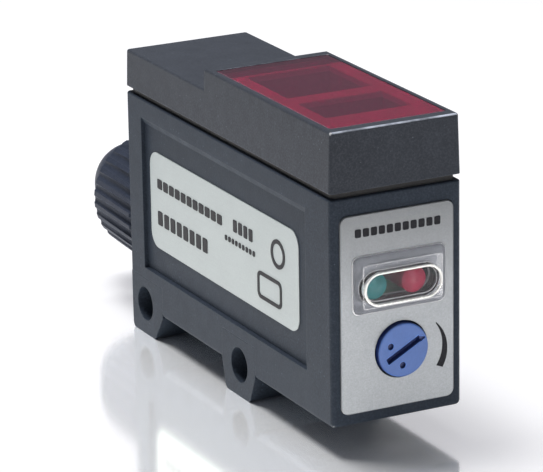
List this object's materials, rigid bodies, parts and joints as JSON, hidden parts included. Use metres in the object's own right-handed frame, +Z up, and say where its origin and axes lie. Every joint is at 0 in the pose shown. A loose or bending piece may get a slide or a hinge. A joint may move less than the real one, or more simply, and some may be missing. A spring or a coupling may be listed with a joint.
{
  "type": "photoelectric sensor",
  "caption": "Compact block photoelectric sensor: red window on a stepped head, indicator window, blue sensitivity trimmer, mounting lugs and cable gland.",
  "frame": {"origin": "under the middle of the whole object, at the level of the lugs' feet", "axes": "+Z up; the front with the trimmer faces -Y; the cable gland leaves along +Y; the labelled side faces -X"},
  "size_m": [0.018, 0.081, 0.0411],
  "materials": {
    "housing": "fine-grained moulded, dark blue-grey",
    "head": "fine-grained moulded, dark blue-grey",
    "gasket": "soft black",
    "filter": "polished dark red filter",
    "optics_frame": "moulded grey",
    "lens": "polished moulded lens",
    "black_plastic": "matt black",
    "board": "green solder mask",
    "led_clear": "clear epoxy",
    "chip": "moulded black",
    "capacitor": "sleeved can",
    "connector": "natural nylon",
    "terminal": "green moulded",
    "screw_metal": "zinc plated",
    "green_guide": "tinted light guide",
    "red_guide": "tinted light guide",
    "clear_window": "clear moulded",
    "plate": "satin silver foil",
    "print": "screen print",
    "label": "silver-white foil",
    "trimmer": "moulded blue",
    "white_plastic": "natural",
    "gland": "moulded black-grey"
  },
  "bodies": {
    "sensor": {"housing": "housing", "rear_lug": "housing", "front_lug": "housing", "head_cover": "head", "head_gasket": "gasket", "window_filter": "filter", "optics_frame": "optics_frame", "chamber_box": "black_plastic", "emitter_lens": "lens", "receiver_lens": "lens", "light_tubes": "black_plastic", "optics_board": "board", "emitter_led": "led_clear", "receiver_photodiode": "chip", "main_board": "board", "control_chip": "chip", "output_transistor": "chip", "filter_capacitor": "capacitor", "board_connector": "connector", "terminal_block": "terminal", "terminal_screws": "screw_metal", "indicator_board": "board", "side_connector": "connector", "indicator_leds": "led_clear", "green_guide": "green_guide", "red_guide": "red_guide", "led_window": "clear_window", "indicator_rim": "white_plastic", "front_plate": "plate", "plate_marks": "print", "side_label": "label", "label_marks": "print", "trimmer_base": "black_plastic", "trimmer_seal": "gasket", "head_screw": "screw_metal", "screw_seal": "gasket", "gland_body": "gland", "gland_thread": "gland", "gland_oring": "gasket", "gland_seal": "gasket"},
    "adjuster": {"trimmer_cap": "trimmer", "trimmer_rotor": "white_plastic"},
    "clamp": {"clamp_ring": "white_plastic"},
    "nut": {"gland_nut": "gland"}
  },
  "joints": [
    {"name": "trimmer", "type": "hinge", "parent": "sensor", "child": "adjuster", "pos_m": [0.00045, -0.03887, 0.0126], "axis": [0, 1, 0], "range_deg": [-135, 135]},
    {"name": "gland_travel", "type": "slide", "parent": "sensor", "child": "clamp", "axis": [0, 1, 0], "range_m": [0, 0.00451]},
    {"name": "gland_nut_turn", "type": "hinge", "parent": "clamp", "child": "nut", "pos_m": [0, 0.01852, 0.01405], "axis": [0, 1, 0], "range_deg": [0, 1080]}
  ],
  "couplings": [
    {"joint": "gland_travel", "follows": "gland_nut_turn", "m_per_rad": 0.00023873}
  ]
}
